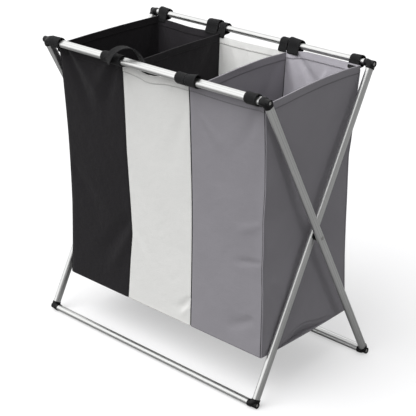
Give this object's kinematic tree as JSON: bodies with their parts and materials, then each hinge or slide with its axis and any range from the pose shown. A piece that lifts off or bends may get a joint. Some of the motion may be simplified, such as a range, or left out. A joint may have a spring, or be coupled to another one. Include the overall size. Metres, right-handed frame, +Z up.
{
  "type": "folding laundry sorter",
  "caption": "Free-standing laundry sorter: a fabric bag divided into side-by-side compartments hangs by straps from a folding X stand of aluminium tube, with a carry handle.",
  "frame": {"origin": "on the floor, in the middle of the open stand between its four feet", "axes": "+X along the rails to the right, +Y towards the rear, +Z up; the carry handle is at the front"},
  "size_m": [0.6256, 0.3397, 0.6447],
  "materials": {
    "aluminium_tube": "satin, fine lengthwise ribs",
    "black_plastic": "glossy moulded",
    "rivet_steel": "zinc-plated",
    "webbing": "black polyester tape with edge stitching",
    "black_fabric": "black woven polyester",
    "light_fabric": "off-white woven polyester",
    "grey_fabric": "grey woven polyester"
  },
  "bodies": {
    "pivots": {"right_rivet": "rivet_steel", "left_rivet": "rivet_steel", "right_spacer": "black_plastic", "left_spacer": "black_plastic"},
    "front_frame": {"front_frame_top_rail": "aluminium_tube", "front_frame_foot_rail": "aluminium_tube", "front_frame_left_leg": "aluminium_tube", "front_frame_right_leg": "aluminium_tube", "front_frame_elbow_top_left": "black_plastic", "front_frame_elbow_top_right": "black_plastic", "front_frame_elbow_foot_left": "black_plastic", "front_frame_elbow_foot_right": "black_plastic", "front_frame_screws": "rivet_steel"},
    "rear_frame": {"rear_frame_top_rail": "aluminium_tube", "rear_frame_foot_rail": "aluminium_tube", "rear_frame_left_leg": "aluminium_tube", "rear_frame_right_leg": "aluminium_tube", "rear_frame_elbow_top_left": "black_plastic", "rear_frame_elbow_top_right": "black_plastic", "rear_frame_elbow_foot_left": "black_plastic", "rear_frame_elbow_foot_right": "black_plastic", "rear_frame_screws": "rivet_steel"},
    "bag_front": {"front_panel_dark": "black_fabric", "front_panel_light": "light_fabric", "front_panel_grey": "grey_fabric", "front_strap_1": "webbing", "front_strap_2": "webbing", "front_strap_3": "webbing", "front_strap_4": "webbing", "front_strap_5": "webbing", "front_strap_6": "webbing", "carry_handle": "webbing"},
    "bag_rear": {"rear_panel_dark": "black_fabric", "rear_panel_light": "light_fabric", "rear_panel_grey": "grey_fabric", "rear_strap_1": "webbing", "rear_strap_2": "webbing", "rear_strap_3": "webbing", "rear_strap_4": "webbing", "rear_strap_5": "webbing", "rear_strap_6": "webbing"},
    "bag_core": {"left_side_panel": "black_fabric", "right_side_panel": "grey_fabric", "left_divider": "black_fabric", "right_divider": "grey_fabric", "base_dark": "black_fabric", "base_light": "light_fabric", "base_grey": "grey_fabric"}
  },
  "joints": [
    {"name": "fold", "type": "hinge", "parent": "pivots", "child": "front_frame", "pos_m": [0, 0, 0.31156], "axis": [-1, 0, 0], "range_deg": [0, 24.8]},
    {"name": "fold_rear", "type": "hinge", "parent": "pivots", "child": "rear_frame", "pos_m": [0, 0, 0.31156], "axis": [1, 0, 0], "range_deg": [0, 25]},
    {"name": "hang_front", "type": "hinge", "parent": "front_frame", "child": "bag_front", "pos_m": [0, -0.15815, 0.61536], "axis": [1, 0, 0], "range_deg": [0, 23.6]},
    {"name": "hang_rear", "type": "hinge", "parent": "rear_frame", "child": "bag_rear", "pos_m": [0, 0.15815, 0.61536], "axis": [-1, 0, 0], "range_deg": [0, 23.6]},
    {"name": "bag_lift", "type": "slide", "parent": "pivots", "child": "bag_core", "axis": [0, 0, 1], "range_m": [0, 0.0386], "deforming": ["left_side_panel", "right_side_panel", "left_divider", "right_divider", "base_dark", "base_light", "base_grey"]}
  ],
  "couplings": [
    {"joint": "fold_rear", "follows": "fold", "ratio": 1},
    {"joint": "hang_front", "follows": "fold", "ratio": 0.94355},
    {"joint": "hang_rear", "follows": "fold", "ratio": 0.94355},
    {"joint": "bag_lift", "follows": "fold", "m_per_rad": 0.088528}
  ]
}
